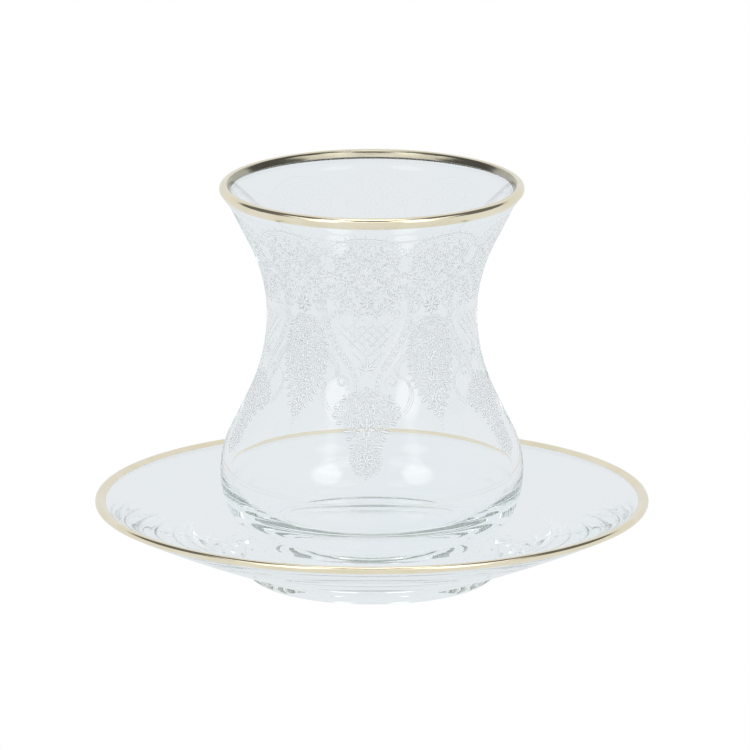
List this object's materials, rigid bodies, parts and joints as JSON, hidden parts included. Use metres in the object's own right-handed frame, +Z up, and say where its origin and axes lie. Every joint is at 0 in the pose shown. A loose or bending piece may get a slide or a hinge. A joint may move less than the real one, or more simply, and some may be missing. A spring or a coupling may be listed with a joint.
{
  "type": "tea glass with saucer",
  "caption": "Waisted clear tea glass with a thick base and gilt rim, standing on a shallow glass saucer with a foot ring and gilt rim.",
  "frame": {"origin": "centre of the saucer's foot ring, on the surface that it stands on", "axes": "+Z up along the common axis of saucer and glass; the piece is round, so +X and +Y are any two level directions at right angles, with -Y towards the viewer"},
  "size_m": [0.12, 0.12, 0.087],
  "materials": {
    "cup_glass": "clear polished glass with a frosted lace ornament",
    "cup_gilding": "bright gilding",
    "saucer_glass": "clear polished pressed glass",
    "saucer_gilding": "bright gilding"
  },
  "bodies": {
    "root": {"glass_cup": "cup_glass", "cup_gilt_rim": "cup_gilding", "saucer": "saucer_glass", "saucer_gilt_rim": "saucer_gilding"}
  },
  "joints": []
}
